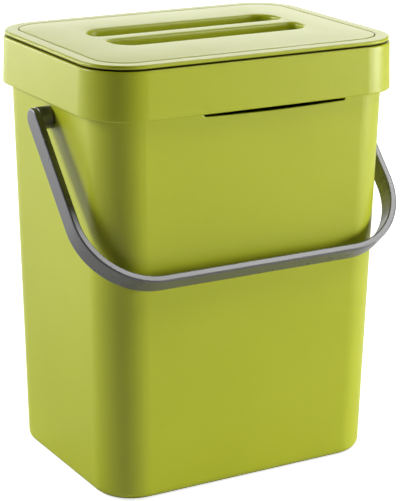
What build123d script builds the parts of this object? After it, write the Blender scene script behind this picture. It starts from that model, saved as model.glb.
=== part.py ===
from build123d import *
import os
from math import asin, atan2, cos, degrees, radians, sin, sqrt

# Lidded hanging bin with a swinging bail, standing on the ground plane.
# +Z is up, +X is to the right, the hang slot and the resting bail face -Y.
# The origin is the middle of the base. All lengths are in millimetres.

# Bin body: a bucket that widens from the foot to the rim
FOOT_W = 183.6
FOOT_D = 136.4
FOOT_R = 24.8
RIM_W = 196.2
RIM_D = 143.8
RIM_R = 25.0
BODY_H = 258.0
BODY_WALL = 2.0
FLOOR_T = 2.6
FOOT_EDGE_R = 5.5
BEAD_OUT = 1.2
BEAD_H = 3.0

# Hang slot through the front wall, behind the collar's skirt
SLOT_W = 96.0
SLOT_SHIFT = 12.5
SLOT_H = 10.5
SLOT_DIP = 3.5
SLOT_SAG = 0.8
SLOT_CORNER_R = 1.5

# Bail: a flat strip bent to a U, with knuckles and pins at its ends
BAIL_REACH = 116.2
BAIL_BEND_R = 44.7
BAIL_BROAD = 12.6
BAIL_THICK = 4.3
BAIL_EDGE_R = 0.9
BAIL_SIDE_GAP = 1.9
BAIL_REST_GAP = 0.8
PIVOT_DROP = 10.6
KNUCKLE_R = 6.7
KNUCKLE_GAP = 0.5
PIN_R = 4.0
PIN_L = 6.6
PIN_FIT = 0.05
PIN_END_GAP = 0.4
SOCKET_WALL = 3.2
SOCKET_END = 1.6

# Collar: a skirted frame that sits on the rim and grips a bag
SKIRT_GAP = 0.7
SKIRT_WALL = 2.0
SKIRT_FLARE = 1.0
SKIRT_DROP = 26.2
SKIRT_EDGE_R = 0.6
FLANGE_T = 2.0
COLLAR_EDGE_R = 0.9
BAG_GAP = 0.9
LIP_WALL = 1.6
LIP_DROP = 9.5

# Lid: a border that leaves a shadow gap, a plug rim and a finger well
LID_INSET = 0.6
SHADOW_GAP = 1.2
SEAT_INSET = 4.0
LID_EDGE_H = 2.0
LID_EDGE_R = 0.9
PLUG_GAP = 0.5
PLUG_WALL = 1.7
PLUG_DROP = 9.0
TRAY_BORDER = 8.1
TRAY_DEPTH = 2.0
WELL_DEPTH = 21.8
WELL_TAPER = 3.3
WELL_WALL = 1.6
WELL_GAP = 0.7

# Crowned panel inset in the lid, with a grip bar between two finger openings
PANEL_GAP = 0.6
CROWN_H = 1.5
CROWN_RUN = 26.0
CROWN_R = 18.0
GRIP_W = 130.0
GRIP_D = 53.0
GRIP_R = 13.0
GRIP_TAPER = 1.0
GRIP_WALL = 1.6
GRIP_DROP = 9.0
GRIP_EDGE_R = 0.8
BAR_D = 13.0
BAR_CORNER_R = 5.0
BAR_WALL = 1.8
BAR_TOP_T = 2.0

# Outline of the body at any height
SLOPE_W = (RIM_W - FOOT_W) / BODY_H
SLOPE_D = (RIM_D - FOOT_D) / BODY_H
SLOPE_R = (RIM_R - FOOT_R) / BODY_H


def body_w(z):
    """Outer width of the bucket at height z."""
    return FOOT_W + SLOPE_W * z


def body_d(z):
    """Outer depth of the bucket at height z."""
    return FOOT_D + SLOPE_D * z


def body_r(z):
    """Outer corner radius of the bucket at height z."""
    return FOOT_R + SLOPE_R * z


def ring(grow, z):
    """Rounded rectangle that follows the rim, larger by grow on each side."""
    with BuildSketch(Plane.XY.offset(z)) as outline:
        RectangleRounded(RIM_W + 2 * grow, RIM_D + 2 * grow, RIM_R + grow)
    return outline.sketch


# Levels and offsets from the rim that several pieces share
SKIRT_LOW_Z = BODY_H - SKIRT_DROP
COLLAR_TOP_Z = BODY_H + FLANGE_T
SKIRT_IN = BEAD_OUT + SKIRT_GAP
COLLAR_OUT = SKIRT_IN + SKIRT_WALL
LIP_OUT = -BODY_WALL - BAG_GAP
MOUTH_OUT = LIP_OUT - LIP_WALL
LID_OUT = COLLAR_OUT - LID_INSET
LID_LOW_Z = COLLAR_TOP_Z + SHADOW_GAP
LID_TOP_Z = LID_LOW_Z + LID_EDGE_H
TRAY_OUT = LID_OUT - TRAY_BORDER
TRAY_Z = LID_TOP_Z - TRAY_DEPTH
PIVOT_Z = SKIRT_LOW_Z - PIVOT_DROP
BAIL_INNER = RIM_W / 2 + COLLAR_OUT + SKIRT_FLARE + BAIL_SIDE_GAP
BAIL_HALF = BAIL_INNER + BAIL_THICK
KNUCKLE_X = body_w(PIVOT_Z + KNUCKLE_R) / 2 + KNUCKLE_GAP
PIN_TIP_X = KNUCKLE_X - PIN_L
SOCKET_X = PIN_TIP_X - PIN_END_GAP

# The bail leans on the front wall, which fixes the angle it hangs at
HANG_REACH = BAIL_REACH - BAIL_THICK
LEAN_A = HANG_REACH + SLOPE_D * BAIL_BROAD / 4
LEAN_B = SLOPE_D * HANG_REACH / 2 - BAIL_BROAD / 2
LEAN_C = body_d(PIVOT_Z) / 2 + BAIL_REST_GAP
BAIL_TILT = degrees(asin(LEAN_C / sqrt(LEAN_A**2 + LEAN_B**2)) - atan2(LEAN_B, LEAN_A))


def side_plane(x, side):
    """Plane across the pivot axis at distance x, facing outwards."""
    return Plane(origin=(side * x, 0, PIVOT_Z), z_dir=(side, 0, 0))


def post(radius, length, mode=Mode.ADD):
    """Round post that grows outwards from the plane in use."""
    Cylinder(radius, length, align=(Align.CENTER, Align.CENTER, Align.MIN), mode=mode)


def make_body():
    """Tapered bucket with a beaded rim, two pivot sockets and the hang slot."""
    # Hollow of the bucket, rounded where the walls meet the floor
    with BuildPart() as hollow:
        with BuildSketch(Plane.XY.offset(FLOOR_T)):
            RectangleRounded(
                body_w(FLOOR_T) - 2 * BODY_WALL,
                body_d(FLOOR_T) - 2 * BODY_WALL,
                body_r(FLOOR_T) - BODY_WALL,
            )
        add(ring(-BODY_WALL, BODY_H))
        loft(ruled=True)
        fillet(hollow.faces().sort_by(Axis.Z)[0].edges(), FOOT_EDGE_R - BODY_WALL / 4)

    # Opening for a bracket's tongue, seen from the front
    slot_low = SKIRT_LOW_Z - SLOT_DIP
    slot_top = SKIRT_LOW_Z + SLOT_H
    left = SLOT_SHIFT - SLOT_W / 2
    right = SLOT_SHIFT + SLOT_W / 2
    end_z = slot_low + SLOT_SAG
    with BuildPart() as slot:
        with BuildSketch(Plane.XZ) as opening:
            with BuildLine():
                ThreePointArc((left, end_z), (SLOT_SHIFT, slot_low), (right, end_z))
                Polyline((right, end_z), (right, slot_top), (left, slot_top), (left, end_z))
            make_face()
            fillet(opening.vertices(), SLOT_CORNER_R)
        extrude(amount=RIM_D)

    with BuildPart() as body:
        # Outer shell, straight tapered sides
        with BuildSketch(Plane.XY):
            RectangleRounded(FOOT_W, FOOT_D, FOOT_R)
        add(ring(0, BODY_H))
        loft(ruled=True)
        fillet(body.faces().sort_by(Axis.Z)[0].edges(), FOOT_EDGE_R)
        add(hollow.part, mode=Mode.SUBTRACT)
        # Bead round the rim
        with BuildSketch(Plane.XY.offset(BODY_H - BEAD_H)):
            add(ring(BEAD_OUT, 0))
            add(ring(-BODY_WALL / 2, 0), mode=Mode.SUBTRACT)
        extrude(amount=BEAD_H)
        # Hang slot through the front wall
        add(slot.part, mode=Mode.SUBTRACT)
        # Blind sockets for the bail's pins
        boss_tip = SOCKET_X - SOCKET_END
        boss_l = body_w(PIVOT_Z - PIN_R - SOCKET_WALL) / 2 - BODY_WALL / 2 - boss_tip
        for side in (-1, 1):
            with Locations(side_plane(boss_tip, side)):
                post(PIN_R + PIN_FIT + SOCKET_WALL, boss_l)
            with Locations(side_plane(SOCKET_X, side)):
                post(PIN_R + PIN_FIT, RIM_W / 2, Mode.SUBTRACT)
    body.part.label = "bin_body"
    return body.part


def make_bail():
    """Flat bail with two bent corners, round knuckles and inward pins."""
    tilt = radians(BAIL_TILT)
    lean = Plane(
        origin=(0, 0, PIVOT_Z),
        x_dir=(1, 0, 0),
        z_dir=(0, -cos(tilt), sin(tilt)),
    )
    arm = BAIL_REACH - BAIL_BEND_R
    flat = BAIL_HALF - BAIL_BEND_R
    with BuildPart() as bail:
        # Strip bent to a U, drawn in the plane in which the bail rests
        with BuildSketch(lean):
            with BuildLine():
                Line((-BAIL_HALF, 0), (-BAIL_HALF, -arm))
                RadiusArc((-BAIL_HALF, -arm), (-flat, -BAIL_REACH), -BAIL_BEND_R)
                Line((-flat, -BAIL_REACH), (flat, -BAIL_REACH))
                RadiusArc((flat, -BAIL_REACH), (BAIL_HALF, -arm), -BAIL_BEND_R)
                Line((BAIL_HALF, -arm), (BAIL_HALF, 0))
                Line((BAIL_HALF, 0), (BAIL_INNER, 0))
                Line((BAIL_INNER, 0), (BAIL_INNER, -arm))
                RadiusArc((BAIL_INNER, -arm), (flat, -HANG_REACH), BAIL_BEND_R - BAIL_THICK)
                Line((flat, -HANG_REACH), (-flat, -HANG_REACH))
                RadiusArc((-flat, -HANG_REACH), (-BAIL_INNER, -arm), BAIL_BEND_R - BAIL_THICK)
                Line((-BAIL_INNER, -arm), (-BAIL_INNER, 0))
                Line((-BAIL_INNER, 0), (-BAIL_HALF, 0))
            make_face()
        extrude(amount=BAIL_BROAD / 2, both=True)
        # Round ends of the arms
        for side in (-1, 1):
            with Locations(side_plane(BAIL_INNER, side)):
                post(BAIL_BROAD / 2, BAIL_THICK)
        # Every long edge is rounded, the short seams across the strip are not
        long_edges = bail.edges().filter_by(
            lambda e: e.geom_type != GeomType.LINE or e.length > BAIL_BROAD + 1
        )
        fillet(long_edges, BAIL_EDGE_R)
        # Knuckles and pins
        for side in (-1, 1):
            with Locations(side_plane(KNUCKLE_X, side)):
                post(KNUCKLE_R, BAIL_INNER + BAIL_THICK / 4 - KNUCKLE_X)
            with Locations(side_plane(PIN_TIP_X, side)):
                post(PIN_R, PIN_L + BAIL_THICK / 2)
        tips = bail.edges().filter_by(lambda e: abs(abs(e.center().X) - PIN_TIP_X) < 0.01)
        chamfer(tips, PIN_R * 0.15)
    bail.part.label = "bail"
    return bail.part


def make_collar():
    """Skirted frame that sits on the rim and holds a bag's edge."""
    with BuildPart() as collar:
        # Skirt and top flange, a little wider at the lower edge
        add(ring(COLLAR_OUT + SKIRT_FLARE, SKIRT_LOW_Z))
        add(ring(COLLAR_OUT, COLLAR_TOP_Z))
        loft(ruled=True)
        fillet(collar.faces().sort_by(Axis.Z)[-1].edges(), COLLAR_EDGE_R)
        fillet(collar.faces().sort_by(Axis.Z)[0].edges(), SKIRT_EDGE_R)
        # Space inside the skirt, below the flange
        add(ring(SKIRT_IN + SKIRT_FLARE, SKIRT_LOW_Z))
        add(ring(SKIRT_IN, BODY_H))
        loft(ruled=True, mode=Mode.SUBTRACT)
        # Lip that reaches into the bucket and grips the bag
        add(ring(LIP_OUT, BODY_H - LIP_DROP))
        extrude(amount=LIP_DROP + FLANGE_T / 2)
        add(ring(MOUTH_OUT, BODY_H - LIP_DROP))
        extrude(amount=LIP_DROP + 2 * FLANGE_T, mode=Mode.SUBTRACT)
    collar.part.label = "collar"
    return collar.part


def make_lid_shell():
    """Lid frame with a seat, a plug rim, a tray for the panel and a finger well."""
    # The well starts a clearance outside the panel's grip skirt
    well_w = GRIP_W + 2 * (GRIP_WALL + WELL_GAP)
    well_d = GRIP_D + 2 * (GRIP_WALL + WELL_GAP)
    well_r = GRIP_R + GRIP_WALL + WELL_GAP
    well_z = TRAY_Z - WELL_DEPTH
    with BuildPart() as well_outer:
        with BuildSketch(Plane.XY.offset(well_z - WELL_WALL)):
            RectangleRounded(
                well_w - 2 * WELL_TAPER + 2 * WELL_WALL,
                well_d - 2 * WELL_TAPER + 2 * WELL_WALL,
                well_r - WELL_TAPER + WELL_WALL,
            )
        with BuildSketch(Plane.XY.offset(TRAY_Z)):
            RectangleRounded(well_w + 2 * WELL_WALL, well_d + 2 * WELL_WALL, well_r + WELL_WALL)
        loft(ruled=True)
        fillet(well_outer.faces().sort_by(Axis.Z)[0].edges(), 2 * WELL_WALL)
    with BuildPart() as well_inner:
        with BuildSketch(Plane.XY.offset(well_z)):
            RectangleRounded(well_w - 2 * WELL_TAPER, well_d - 2 * WELL_TAPER, well_r - WELL_TAPER)
        with BuildSketch(Plane.XY.offset(TRAY_Z)):
            RectangleRounded(well_w, well_d, well_r)
        loft(ruled=True)
        fillet(well_inner.faces().sort_by(Axis.Z)[0].edges(), WELL_WALL)

    with BuildPart() as shell:
        # Visible border of the lid
        add(ring(LID_OUT, LID_LOW_Z))
        extrude(amount=LID_EDGE_H)
        fillet(shell.faces().sort_by(Axis.Z)[-1].edges(), LID_EDGE_R)
        # Seat that rests on the collar's flange and leaves the shadow gap
        add(ring(LID_OUT - SEAT_INSET, COLLAR_TOP_Z))
        extrude(amount=SHADOW_GAP)
        # Plug rim inside the collar's mouth
        with BuildSketch(Plane.XY.offset(COLLAR_TOP_Z - PLUG_DROP)):
            add(ring(MOUTH_OUT - PLUG_GAP, 0))
            add(ring(MOUTH_OUT - PLUG_GAP - PLUG_WALL, 0), mode=Mode.SUBTRACT)
        extrude(amount=PLUG_DROP)
        # Tray for the panel
        add(ring(TRAY_OUT, TRAY_Z))
        extrude(amount=2 * TRAY_DEPTH, mode=Mode.SUBTRACT)
        # Finger well
        add(well_outer.part)
        add(well_inner.part, mode=Mode.SUBTRACT)
    shell.part.label = "lid_shell"
    return shell.part


def grip_half(side, shrink, z):
    """One side of the grip outline, cut along the bar and rounded at its corners."""
    with BuildSketch(Plane.XY.offset(z)) as half:
        RectangleRounded(GRIP_W - 2 * shrink, GRIP_D - 2 * shrink, GRIP_R - shrink)
        with Locations((0, side * (BAR_D - GRIP_D) / 2)):
            Rectangle(GRIP_W, GRIP_D, mode=Mode.SUBTRACT)
        by_bar = half.vertices().filter_by(lambda v: abs(v.Y) < BAR_D / 2 + 0.01)
        fillet(by_bar, BAR_CORNER_R)
    return half.sketch


def make_lid_panel():
    """Crowned inset plate with two finger openings either side of a grip bar."""
    low_z = LID_TOP_Z - GRIP_DROP
    top_z = LID_TOP_Z + CROWN_H
    panel_w = RIM_W + 2 * (TRAY_OUT - PANEL_GAP)
    panel_d = RIM_D + 2 * (TRAY_OUT - PANEL_GAP)
    edge_r = RIM_R + TRAY_OUT - PANEL_GAP
    with BuildPart() as panel:
        add(ring(TRAY_OUT - PANEL_GAP, TRAY_Z))
        extrude(amount=TRAY_DEPTH)
        # The crown rises steeply at the edge and ends level round the grip
        with BuildSketch(Plane.XY.offset(LID_TOP_Z)):
            RectangleRounded(panel_w, panel_d, edge_r)
        with BuildSketch(Plane.XY.offset(LID_TOP_Z + CROWN_H * 3 / 4)):
            RectangleRounded(panel_w - CROWN_RUN, panel_d - CROWN_RUN, (edge_r + CROWN_R) / 2)
        with BuildSketch(Plane.XY.offset(top_z)):
            RectangleRounded(panel_w - 2 * CROWN_RUN, panel_d - 2 * CROWN_RUN, CROWN_R)
        loft()
        # Skirt round the grip opening, drafted inwards
        with BuildSketch(Plane.XY.offset(low_z)):
            RectangleRounded(
                GRIP_W + 2 * (GRIP_WALL - GRIP_TAPER),
                GRIP_D + 2 * (GRIP_WALL - GRIP_TAPER),
                GRIP_R + GRIP_WALL - GRIP_TAPER,
            )
        with BuildSketch(Plane.XY.offset(LID_TOP_Z - TRAY_DEPTH / 2)):
            RectangleRounded(GRIP_W + 2 * GRIP_WALL, GRIP_D + 2 * GRIP_WALL, GRIP_R + GRIP_WALL)
        loft(ruled=True)
        # Two openings, each half of one rounded rectangle
        for side in (-1, 1):
            add(grip_half(side, GRIP_TAPER, low_z))
            add(grip_half(side, 0, top_z))
            loft(ruled=True, mode=Mode.SUBTRACT)
        # The bar is hollow underneath
        with BuildSketch(Plane.XY.offset(low_z)):
            Rectangle(GRIP_W - 2 * BAR_WALL, BAR_D - 2 * BAR_WALL)
        extrude(amount=GRIP_DROP - BAR_TOP_T, mode=Mode.SUBTRACT)
        # Rounded edges round the openings
        for wire in panel.faces().sort_by(Axis.Z)[-1].inner_wires():
            fillet(wire.edges(), GRIP_EDGE_R)
    panel.part.label = "lid_panel"
    return panel.part


bin_body = make_body()
bail = make_bail()
collar = make_collar()
lid_shell = make_lid_shell()
lid_panel = make_lid_panel()

os.makedirs("parts", exist_ok=True)
export_step(bin_body, "parts/bin_body.step")
export_step(bail, "parts/bail.step")
export_step(collar, "parts/collar.step")
export_step(lid_shell, "parts/lid_shell.step")
export_step(lid_panel, "parts/lid_panel.step")
print("bail tilt", round(BAIL_TILT, 2), "pivot height", round(PIVOT_Z, 2))
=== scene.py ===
import math
import bmesh
import bpy
from mathutils import Matrix, Vector


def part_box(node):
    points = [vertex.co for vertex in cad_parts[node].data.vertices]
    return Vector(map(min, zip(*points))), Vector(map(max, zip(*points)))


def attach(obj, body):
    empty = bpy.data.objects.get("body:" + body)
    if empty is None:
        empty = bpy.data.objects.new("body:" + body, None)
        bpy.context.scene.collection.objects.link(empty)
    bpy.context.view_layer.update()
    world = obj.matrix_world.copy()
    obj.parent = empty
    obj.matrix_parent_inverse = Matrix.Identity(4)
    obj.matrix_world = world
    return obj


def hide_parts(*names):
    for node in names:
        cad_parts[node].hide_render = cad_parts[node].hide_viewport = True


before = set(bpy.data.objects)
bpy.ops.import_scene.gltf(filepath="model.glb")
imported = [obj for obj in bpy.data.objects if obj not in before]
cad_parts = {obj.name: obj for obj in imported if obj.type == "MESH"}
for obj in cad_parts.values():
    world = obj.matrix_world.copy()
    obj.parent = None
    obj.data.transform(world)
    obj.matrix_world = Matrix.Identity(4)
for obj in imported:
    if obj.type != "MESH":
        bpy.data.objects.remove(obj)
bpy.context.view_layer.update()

# %% [markdown]
# The bin comes in as five finished solids: bucket, collar, lid shell, lid panel and bail.
# Four of them are right as they are, so this lesson is mostly about light, plastic and the small marks that
# make moulded parts look real: wear with a painted highlight on the edges and painted shade in the joints.
# The first step measures each solid, because the size of a grain or a rubbed edge only makes sense beside
# the size of its piece.

# %% The five solids and their sizes
for name in ("bin_body", "collar", "lid_shell", "lid_panel", "bail"):
    low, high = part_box(name)
    print(name, "is", [round(1000 * (b - a), 1) for a, b in zip(low, high)], "mm")

# %% [markdown]
# The camera comes before the finish, so that each look can be compared with the photograph.
# A long lens from the left and a little above shows the narrow side and the wide front
# together. It could be placed by eye, but here its numbers come from fitting the outline of
# the collar, the body and the bail. Azimuth 0 looks along +Y. The picture is 501 pixels
# tall, and a sensor of 36 mm spans that longer side.

# %% Camera at the photograph's angle
PICTURE_W = 400.0
PICTURE_H = 501.0
SENSOR = 36.0
AZIMUTH = math.radians(-29.79)
ELEVATION = math.radians(16.78)
ROLL = math.radians(0.48)
DISTANCE = 1.1619
AIM = Vector((0.0, 0.0, 0.1355))
FOCAL_PIXELS = 1878.4
AXIS_X = 194.41
AXIS_Y = 235.43
NEAREST_SEEN = 0.05
FURTHEST_SEEN = 30.0

back = Vector((
    math.sin(AZIMUTH) * math.cos(ELEVATION),
    -math.cos(AZIMUTH) * math.cos(ELEVATION),
    math.sin(ELEVATION),
))
camera = bpy.data.objects.new("camera", bpy.data.cameras.new("camera"))
bpy.context.scene.collection.objects.link(camera)
camera.data.sensor_width = SENSOR
camera.data.lens = FOCAL_PIXELS * SENSOR / PICTURE_H
camera.data.shift_x = (PICTURE_W / 2 - AXIS_X) / PICTURE_H
camera.data.shift_y = (AXIS_Y - PICTURE_H / 2) / PICTURE_H
camera.location = AIM + back * DISTANCE
turn = (-back).to_track_quat("-Z", "Y").to_matrix().to_4x4()
camera.matrix_world = Matrix.Translation(camera.location) @ turn @ Matrix.Rotation(ROLL, 4, "Z")
camera.data.clip_start = NEAREST_SEEN
camera.data.clip_end = FURTHEST_SEEN
bpy.context.scene.camera = camera
print("lens", round(camera.data.lens, 2), "mm")

# %% [markdown]
# A material is a tree of nodes. Building it in code takes the same few lines for each node,
# so they go into one helper. Colours are easiest to read as they look in a picture, from 0
# to 255, and the renderer wants them linear, so a second helper turns one into the other.

# %% Helpers for nodes and colours
def node(tree, kind, x, y, **inputs):
    """Adds a shader node, places it and sets its sockets."""
    made = tree.nodes.new(kind)
    made.location = (x, y)
    for name, value in inputs.items():
        made.inputs[name.replace("_", " ")].default_value = value
    return made


def srgb(red, green, blue):
    """Turns a colour as seen in a picture, 0 to 255, into the renderer's linear one."""
    def one(v):
        v = v / 255.0
        return v / 12.92 if v <= 0.04045 else ((v + 0.055) / 1.055) ** 2.4
    return (one(red), one(green), one(blue), 1.0)


print("middle grey is", round(srgb(128, 128, 128)[0], 3), "in linear light")

# %% [markdown]
# Two colours or two numbers are often joined, once with a link and once with a plain value.
# These helpers take either, so the finishes below read as sentences.

# %% Helpers that join two values
def feed(tree, socket, value):
    """Links a socket to another one, or sets it to a plain value."""
    if isinstance(value, bpy.types.NodeSocket):
        tree.links.new(value, socket)
    else:
        socket.default_value = value


def times(tree, first, second, x, y):
    """Returns the product of two values."""
    made = node(tree, "ShaderNodeMath", x, y)
    made.operation = "MULTIPLY"
    feed(tree, made.inputs[0], first)
    feed(tree, made.inputs[1], second)
    return made.outputs[0]


def blend_colours(tree, factor, first, second, x, y):
    """Returns the first colour where the factor is 0 and the second where it is 1."""
    made = node(tree, "ShaderNodeMix", x, y)
    made.data_type = "RGBA"
    made.blend_type = "MIX"
    feed(tree, made.inputs[0], factor)
    feed(tree, made.inputs[6], first)
    feed(tree, made.inputs[7], second)
    return made.outputs[2]


# %% [markdown]
# Moulded plastic is coloured all through, yet no wall looks quite even, because thick and
# thin places cool differently. A painted picture could show that, but it would need a map of
# every face. Noise on Object coordinates needs none and is as large as it says in metres: a
# scale of 9 drifts between two close shades over about a tenth of a metre.

# %% Slow change of shade
SHADE_SCALE = 9.0
SHADE_FROM = 0.3
SHADE_TO = 0.7


def slow_shade(tree, place, dark, light):
    """Returns a colour that drifts between two shades over the piece."""
    slow = node(tree, "ShaderNodeTexNoise", -600, 200, Scale=SHADE_SCALE, Detail=3.0, Roughness=0.5)
    tree.links.new(place, slow.inputs["Vector"])
    shade = node(tree, "ShaderNodeValToRGB", -300, 200)
    shade.color_ramp.elements[0].position = SHADE_FROM
    shade.color_ramp.elements[0].color = dark
    shade.color_ramp.elements[1].position = SHADE_TO
    shade.color_ramp.elements[1].color = light
    tree.links.new(slow.outputs["Fac"], shade.inputs["Fac"])
    return shade.outputs["Color"]


# %% [markdown]
# A mould leaves no knife edges, and hands rub the raised ones paler. Real bevels on every edge would change
# the solids. The Bevel node rounds only the shading, within a set distance of each edge, and the more its
# direction leaves the real one, the nearer the edge is. That difference is also the mask for the paler
# edges, which are partly wear and partly a painted highlight.

# %% Rounded edges, worn by hands and with a painted highlight
RAYS = 8
ALIKE_PLAIN_FACE = 0.985
ALIKE_FULL_EDGE = 0.80


def edge_wear_and_highlight(tree, radius, x, y):
    """Returns the rounded direction and a mask that is 1 along the edges, for wear and painted highlight."""
    rounded = node(tree, "ShaderNodeBevel", x, y, Radius=radius)
    rounded.samples = RAYS
    flat = node(tree, "ShaderNodeNewGeometry", x, y - 200)
    alike = node(tree, "ShaderNodeVectorMath", x + 200, y - 100)
    alike.operation = "DOT_PRODUCT"
    tree.links.new(rounded.outputs["Normal"], alike.inputs[0])
    tree.links.new(flat.outputs["Normal"], alike.inputs[1])
    mask = node(tree, "ShaderNodeMapRange", x + 400, y - 100, From_Min=ALIKE_PLAIN_FACE, From_Max=ALIKE_FULL_EDGE)
    tree.links.new(alike.outputs["Value"], mask.inputs["Value"])
    return rounded.outputs["Normal"], mask.outputs["Result"]


# %% [markdown]
# Where two pieces nearly touch, as under the lid, hardly any light gets in. The Ambient Occlusion node
# measures how shut in a point is within a few millimetres, and its value darkens the colour there and
# nowhere else, as painted shade in the joints.

# %% Shade in narrow joints
JOINT_REACH = 0.004
JOINT_SHUT = 0.12
JOINT_OPEN = 0.62
# Painted shade: share of the colour left deep in a joint
JOINT_PAINTED_SHADE_LEFT = 0.10


def painted_joint_shade(tree, x, y):
    """Returns a value for painted shade that is 1 in the open and falls to 0 deep in a joint."""
    shut = node(tree, "ShaderNodeAmbientOcclusion", x, y, Distance=JOINT_REACH)
    shut.samples = RAYS
    spread = node(tree, "ShaderNodeMapRange", x + 200, y, From_Min=JOINT_SHUT, From_Max=JOINT_OPEN)
    tree.links.new(shut.outputs["AO"], spread.inputs["Value"])
    return spread.outputs["Result"]


# %% [markdown]
# A mould is polished by hand and its gloss is never the same all over. Here the roughness
# wanders a little round its middle in patches of a few centimetres, which breaks up the
# broad highlights.

# %% Wandering gloss
GLOSS_SCALE = 40.0
GLOSS_SWING = 0.04


def wandering_roughness(tree, place, middle):
    """Returns a roughness that wanders round its middle."""
    rub = node(tree, "ShaderNodeTexNoise", -600, -100, Scale=GLOSS_SCALE, Detail=4.0, Roughness=0.6)
    tree.links.new(place, rub.inputs["Vector"])
    spread = node(
        tree, "ShaderNodeMapRange", -300, -100,
        To_Min=middle - GLOSS_SWING, To_Max=middle + GLOSS_SWING,
    )
    tree.links.new(rub.outputs["Fac"], spread.inputs["Value"])
    return spread.outputs["Result"]


# %% [markdown]
# The skin of moulded plastic has a grain of about a millimetre, far too small for geometry.
# A Bump node makes it from noise. Its Normal input takes the rounded edges, so the grain
# lies on top of them.

# %% Fine grain of the mould
GRAIN_SCALE = 900.0
GRAIN_DEPTH = 0.00005


def fine_grain(tree, place, strength, rounded):
    """Returns the rounded direction with a fine grain on it."""
    fine = node(tree, "ShaderNodeTexNoise", -600, -400, Scale=GRAIN_SCALE, Detail=2.0)
    tree.links.new(place, fine.inputs["Vector"])
    relief = node(tree, "ShaderNodeBump", 200, -300, Strength=strength, Distance=GRAIN_DEPTH)
    tree.links.new(fine.outputs["Fac"], relief.inputs["Height"])
    tree.links.new(rounded, relief.inputs["Normal"])
    return relief.outputs["Normal"]


# %% [markdown]
# The plastic joins these five effects; the paler edges are partly a painted highlight, and the darker joints
# are painted shade. It is one function, because all green pieces share the same granulate and only differ in
# how well the mould was polished, how much each piece is handled and how bright its painted highlight is.
# The bail uses it too, in grey and with a stronger gloss.

# %% Moulded plastic
PLASTIC_IOR = 1.49


def moulded_plastic(name, colours, wear_and_highlight, roughness, grain, edge, gloss=0.5):
    """Plastic with slow shade changes, paler edges from wear and painted highlight, painted shade in the
    joints and fine grain.
    """
    material = bpy.data.materials.new(name)
    material.use_nodes = True
    tree = material.node_tree
    tree.nodes.clear()
    out = node(tree, "ShaderNodeOutputMaterial", 900, 0)
    shader = node(tree, "ShaderNodeBsdfPrincipled", 600, 0, IOR=PLASTIC_IOR, Specular_IOR_Level=gloss)
    tree.links.new(shader.outputs["BSDF"], out.inputs["Surface"])
    place = node(tree, "ShaderNodeTexCoord", -900, 0).outputs["Object"]

    # Paler edges from wear and painted highlight, but not inside a joint, and painted shade in the joints
    shade = slow_shade(tree, place, colours["dark"], colours["light"])
    rounded, rubbed_and_highlit = edge_wear_and_highlight(tree, edge, -700, 700)
    open_air = painted_joint_shade(tree, -700, 1000)
    rub_and_highlight = times(tree, times(tree, rubbed_and_highlit, wear_and_highlight, -100, 700), open_air, 50, 800)
    colour = blend_colours(tree, rub_and_highlight, shade, colours["rub_and_highlight"], 200, 400)
    # Painted shade: deep in a joint the colour falls to a tenth of the dark green
    deep = tuple(JOINT_PAINTED_SHADE_LEFT * v for v in colours["dark"][:3]) + (1.0,)
    colour = blend_colours(tree, open_air, deep, colour, 400, 400)

    tree.links.new(colour, shader.inputs["Base Color"])
    tree.links.new(wandering_roughness(tree, place, roughness), shader.inputs["Roughness"])
    tree.links.new(fine_grain(tree, place, grain, rounded), shader.inputs["Normal"])
    print("material", name)
    return material


# %% [markdown]
# The solids keep their meshes and only the material in each slot is exchanged, so the shape, the joints and
# the finish stay apart from each other. The lid is handled most and has the widest soft edges, where the
# pale band of wear and painted highlight is widest too, and the bail's strip is thin, so its edges are the
# narrowest.

# %% Finishes of the five solids
# The third colour is the pale one along the edges: partly wear, partly a painted highlight.
GREEN = {"dark": srgb(188, 196, 35), "light": srgb(196, 204, 41), "rub_and_highlight": srgb(216, 222, 96)}
GREY = {"dark": srgb(92, 92, 95), "light": srgb(102, 102, 105), "rub_and_highlight": srgb(222, 222, 224)}

finishes = {
    "bin_body": moulded_plastic("green_bucket", GREEN, wear_and_highlight=0.4, roughness=0.36, grain=0.15, edge=0.0012),
    "collar": moulded_plastic("green_collar", GREEN, wear_and_highlight=0.5, roughness=0.34, grain=0.12, edge=0.0012),
    "lid_shell": moulded_plastic("green_lid", GREEN, wear_and_highlight=0.5, roughness=0.32, grain=0.12, edge=0.0020),
    "lid_panel": moulded_plastic("green_panel", GREEN, wear_and_highlight=0.3, roughness=0.32, grain=0.12, edge=0.0022),
    "bail": moulded_plastic("grey_bail", GREY, wear_and_highlight=0.8, roughness=0.28, grain=0.10, edge=0.0006, gloss=1.0),
}
for name, material in finishes.items():
    solid = bpy.data.objects[name]
    for slot in solid.material_slots:
        slot.material = material
    print(name, "has", len(solid.material_slots), "slot and", len(solid.data.polygons), "faces")

# %% [markdown]
# The two finger slots are where the hand takes hold, so the maker rounded their rims
# generously, and the solid has only a small rounding there. A Bevel modifier would work on
# every edge of the panel. So a copy of the panel is taken, and each point of the small
# rounding moves away from the line where wall and top would meet, which gives the same arc
# a larger radius. For that the script has to know how far a point is from a slot.

# %% How far a point is from a slot
SLOT_HALF_LENGTH = 0.065
SLOT_INNER = 0.0065
SLOT_OUTER = 0.0265
SLOT_OUTER_RADIUS = 0.013
SLOT_INNER_RADIUS = 0.005


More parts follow.
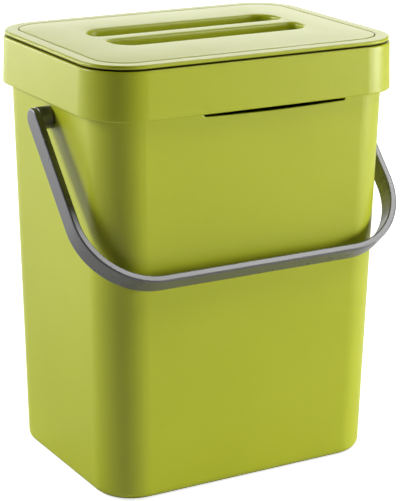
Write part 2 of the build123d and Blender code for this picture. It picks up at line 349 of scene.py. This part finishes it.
def away_from_slot(x, y):
    """Returns the distance outside the nearer slot's outline and the way out."""
    side = 1.0 if y >= 0 else -1.0
    across = abs(y) - (SLOT_INNER + SLOT_OUTER) / 2
    half = (SLOT_OUTER - SLOT_INNER) / 2
    if across > half - SLOT_OUTER_RADIUS:
        radius = SLOT_OUTER_RADIUS
        dy = across - (half - SLOT_OUTER_RADIUS)
    else:
        radius = SLOT_INNER_RADIUS
        dy = -across - (half - SLOT_INNER_RADIUS)
        side = -side
    dx = abs(x) - (SLOT_HALF_LENGTH - radius)
    if dx > 0 and dy > 0:
        far = math.hypot(dx, dy)
        way = (dx / far, dy / far)
    else:
        far = max(dx, dy)
        way = (1.0, 0.0) if dx > dy else (0.0, 1.0)
    return far - radius, (math.copysign(way[0], x), side * way[1])


print("middle of the bar is", round(1000 * away_from_slot(0.0, 0.0)[0], 2), "mm from a slot")

# %% [markdown]
# The long sides of a slot have room for a rounding of 2.8 mm. At its ends the crowned top
# starts to fall close by, so the radius shrinks to 1.5 mm there. The copy is welded first,
# because the solid's mesh is loose triangles, and smooth shading needs shared points.

# %% Slot rims with a larger rounding
SAME_POINT = 0.000001
SMALL_ROUND = 0.0008
END_ROUND = 0.0015
SIDE_ROUND = 0.0028
RIM_REACH = SMALL_ROUND * 1.03
INSIDE_SLACK = 0.0002

panel_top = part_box("lid_panel")[1][2]
shape = bmesh.new()
shape.from_mesh(bpy.data.objects["lid_panel"].data)
bmesh.ops.remove_doubles(shape, verts=shape.verts, dist=SAME_POINT)
moved = 0
for point in shape.verts:
    far, way = away_from_slot(point.co.x, point.co.y)
    drop = panel_top - point.co.z
    if drop > RIM_REACH or far > RIM_REACH or far < -INSIDE_SLACK:
        continue
    grow = (END_ROUND + (SIDE_ROUND - END_ROUND) * abs(way[1])) / SMALL_ROUND
    point.co.x += way[0] * max(far, 0.0) * (grow - 1)
    point.co.y += way[1] * max(far, 0.0) * (grow - 1)
    point.co.z = panel_top - drop * grow
    moved += 1
print("moved", moved, "points of the slot rims")

# %% [markdown]
# The new panel stands for the solid one in every picture. Smooth shading runs over the
# crown and the roundings, and edges sharper than 35 degrees stay crisp.

# %% The panel with its grip
SHARP_ANGLE = math.radians(35)

soft = bpy.data.meshes.new("grip_panel")
shape.to_mesh(soft)
shape.free()
for face in soft.polygons:
    face.use_smooth = True
soft.set_sharp_from_angle(angle=SHARP_ANGLE)
soft.materials.clear()
soft.materials.append(finishes["lid_panel"])
grip = bpy.data.objects.new("grip_panel", soft)
bpy.context.scene.collection.objects.link(grip)
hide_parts("lid_panel")
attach(grip, "lid")
print("grip panel has", len(soft.polygons), "faces")

# %% [markdown]
# The photograph is a cut-out on pure white, lit by big soft boxes. A low one at the right
# lights the wide front and two at the left behind light the narrow side. The rounded front
# corner between them faces neither, which gives its dark band. Three more stand high or
# behind and reflect in the lid, the rims and the bail. Area lamps are used for all of them,
# because their size makes the shadows soft and shows in the gloss.

# %% Six soft boxes
MIDDLE = (0.0, 0.0, 0.13)


def soft_box(name, place, width, height, power):
    """Rectangular area lamp that points at the middle of the bin."""
    lamp = bpy.data.lights.new(name, "AREA")
    lamp.shape = "RECTANGLE"
    lamp.size = width
    lamp.size_y = height
    lamp.energy = power
    made = bpy.data.objects.new(name, lamp)
    bpy.context.scene.collection.objects.link(made)
    made.location = place
    made.rotation_mode = "QUATERNION"
    made.rotation_quaternion = (Vector(MIDDLE) - Vector(place)).to_track_quat("-Z", "Y")
    print("lamp", name, "power", power)


soft_box("right_box", (1.85, -1.19, 0.30), width=1.00, height=0.60, power=36.0)
soft_box("right_high_box", (1.05, -0.72, 1.75), width=0.80, height=0.80, power=12.5)
soft_box("left_box", (-1.76, 1.32, 1.10), width=0.80, height=1.00, power=36.0)
soft_box("left_back_box", (-0.83, 2.04, 0.35), width=0.90, height=0.70, power=14.0)
soft_box("back_high_box", (1.47, 1.64, 1.95), width=0.78, height=1.20, power=10.0)
soft_box("back_panel", (1.09, 1.91, 0.75), width=2.00, height=1.50, power=18.5)

# %% [markdown]
# Behind the bin there is only white. A white world would also light it and wash out the
# dark corner. So the world is white for rays that come from the camera or pass through
# something, and black for all others, and it adds no light of its own.

# %% White world for the camera
WHITE = (1.0, 1.0, 1.0, 1.0)

world = bpy.data.worlds.new("studio")
bpy.context.scene.world = world
world.use_nodes = True
tree = world.node_tree
tree.nodes.clear()
world_out = node(tree, "ShaderNodeOutputWorld", 600, 0)
seen = node(tree, "ShaderNodeBackground", 0, 150, Color=WHITE, Strength=1.0)
unlit = node(tree, "ShaderNodeBackground", 0, -50, Color=WHITE, Strength=0.0)
path = node(tree, "ShaderNodeLightPath", -300, 0)
either = node(tree, "ShaderNodeMath", -100, 300)
either.operation = "MAXIMUM"
mix = node(tree, "ShaderNodeMixShader", 300, 0)
tree.links.new(path.outputs["Is Camera Ray"], either.inputs[0])
tree.links.new(path.outputs["Is Transmission Ray"], either.inputs[1])
tree.links.new(either.outputs[0], mix.inputs[0])
tree.links.new(unlit.outputs[0], mix.inputs[1])
tree.links.new(seen.outputs[0], mix.inputs[2])
tree.links.new(mix.outputs[0], world_out.inputs["Surface"])
print("world", world.name, "is white for the camera")

# %% [markdown]
# The bin stands on nothing in the photograph, so the floor is matt and pale and shows only
# a soft shadow. It glows a little for the camera, to come out white near the bin. The lamps
# fade with distance, so the glow grows there and the horizon stays white.

# %% How much the floor glows
GLOW_NEAR = 0.75
GLOW_FAR = 1.0
GLOW_FROM = 0.6
GLOW_TO = 2.5


def camera_glow(tree):
    """Returns a light that only grows with the distance from the bin."""
    spot = node(tree, "ShaderNodeTexCoord", -600, 100)
    reach = node(tree, "ShaderNodeVectorMath", -400, 100)
    reach.operation = "LENGTH"
    lift = node(
        tree, "ShaderNodeMapRange", -200, 100,
        From_Min=GLOW_FROM, From_Max=GLOW_TO, To_Min=GLOW_NEAR, To_Max=GLOW_FAR,
    )
    glow = node(tree, "ShaderNodeEmission", 0, 100, Color=WHITE)
    tree.links.new(spot.outputs["Object"], reach.inputs[0])
    tree.links.new(reach.outputs["Value"], lift.inputs["Value"])
    tree.links.new(lift.outputs["Result"], glow.inputs["Strength"])
    return glow.outputs[0]


# %% [markdown]
# The floor is one large plane. The camera sees its matt colour and the glow added up, and
# every other ray meets the matt colour alone, so the glow never lights the bin.

# %% Pale floor
FLOOR_SIDE = 12.0
FLOOR_PALE = (0.9, 0.9, 0.9, 1.0)

bpy.ops.mesh.primitive_plane_add(size=FLOOR_SIDE, location=(0, 0, 0))
floor = bpy.context.object
floor.name = "floor"
floor_finish = bpy.data.materials.new("pale_floor")
floor_finish.use_nodes = True
tree = floor_finish.node_tree
tree.nodes.clear()
floor_out = node(tree, "ShaderNodeOutputMaterial", 600, 0)
matt = node(tree, "ShaderNodeBsdfDiffuse", 0, -100, Color=FLOOR_PALE)
both = node(tree, "ShaderNodeAddShader", 200, 0)
choose = node(tree, "ShaderNodeMixShader", 400, 0)
path = node(tree, "ShaderNodeLightPath", 0, 400)
tree.links.new(matt.outputs[0], both.inputs[0])
tree.links.new(camera_glow(tree), both.inputs[1])
tree.links.new(path.outputs["Is Camera Ray"], choose.inputs[0])
tree.links.new(matt.outputs[0], choose.inputs[1])
tree.links.new(both.outputs[0], choose.inputs[2])
tree.links.new(choose.outputs[0], floor_out.inputs["Surface"])
floor.data.materials.append(floor_finish)
print("floor of", FLOOR_SIDE, "m")

# %% [markdown]
# A film-like view would bend the greens and greys. The Standard view shows each colour as
# it was set, so the render can be compared with the photograph number by number.

# %% Colours shown as they are
bpy.context.scene.view_settings.view_transform = "Standard"
print("view", bpy.context.scene.view_settings.view_transform)

# %% [markdown]
# Dressing a model must not make it grow.

# %% The end
print("the bin is dressed")
